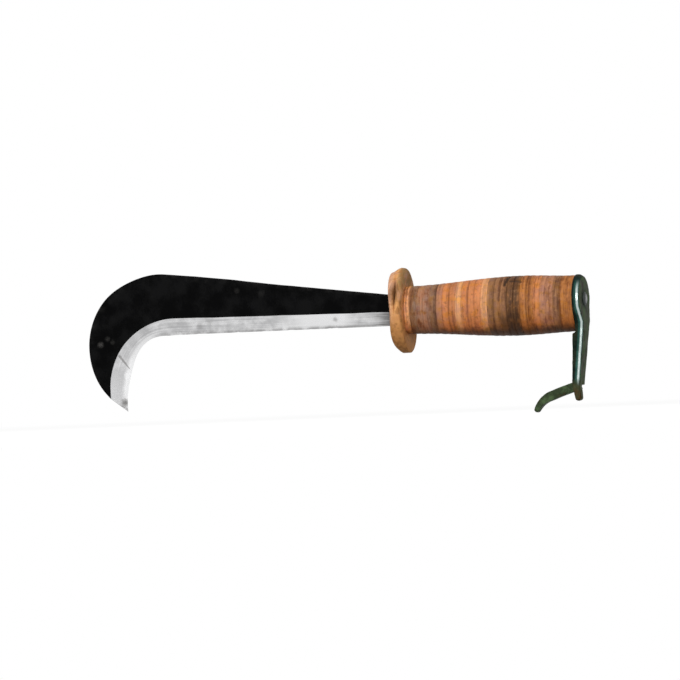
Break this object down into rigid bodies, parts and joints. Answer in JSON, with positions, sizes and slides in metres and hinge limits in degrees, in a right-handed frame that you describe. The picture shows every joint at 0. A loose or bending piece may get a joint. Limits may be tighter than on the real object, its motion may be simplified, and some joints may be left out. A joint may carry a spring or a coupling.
{
  "type": "billhook",
  "caption": "Billhook: forged blade curving into a beak with a ground inside edge, oval leather guard, grip of stacked leather washers and a swivelling steel belt hook on the butt.",
  "frame": {"origin": "middle of the grip, on the grip's axis", "axes": "+X along the grip toward the butt and the belt hook, +Z toward the spine of the blade, +Y across the blade's thickness"},
  "size_m": [0.3606, 0.048, 0.1077],
  "materials": {
    "forged_steel": "black forge scale on the body, bright ground bevel along the inside edge",
    "hook_steel": "dark green-black enamel, worn to steel and light rust at the edges",
    "leather_guard": "ochre vegetable-tanned leather, rounded rims",
    "leather_tan": "sanded edge of a leather washer",
    "leather_rose": "sanded edge of a leather washer",
    "leather_orange": "sanded edge of a leather washer",
    "leather_umber": "sanded edge of a leather washer",
    "leather_dark": "sanded edge of a leather washer",
    "leather_amber": "sanded edge of a leather washer"
  },
  "bodies": {
    "tool": {"blade": "forged_steel", "guard_front": "leather_guard", "guard_rear": "leather_guard", "grip_washer_01": "leather_tan", "grip_washer_02": "leather_umber", "grip_washer_03": "leather_rose", "grip_washer_04": "leather_rose", "grip_washer_05": "leather_umber", "grip_washer_06": "leather_rose", "grip_washer_07": "leather_orange", "grip_washer_08": "leather_orange", "grip_washer_09": "leather_tan", "grip_washer_10": "leather_orange", "grip_washer_11": "leather_orange", "grip_washer_12": "leather_orange", "grip_washer_13": "leather_tan", "grip_washer_14": "leather_umber", "grip_washer_15": "leather_umber", "grip_washer_16": "leather_umber", "grip_washer_17": "leather_dark", "grip_washer_18": "leather_dark", "grip_washer_19": "leather_amber", "grip_washer_20": "leather_amber", "grip_washer_21": "leather_orange", "grip_washer_22": "leather_rose", "grip_washer_23": "leather_rose", "grip_washer_24": "leather_umber", "grip_washer_25": "leather_amber", "grip_washer_26": "leather_amber"},
    "hook": {"belt_hook": "hook_steel"}
  },
  "joints": [
    {"name": "hook_swivel", "type": "hinge", "parent": "tool", "child": "hook", "pos_m": [0.0634, 0, 0.003], "axis": [1, 0, 0], "continuous": true}
  ]
}
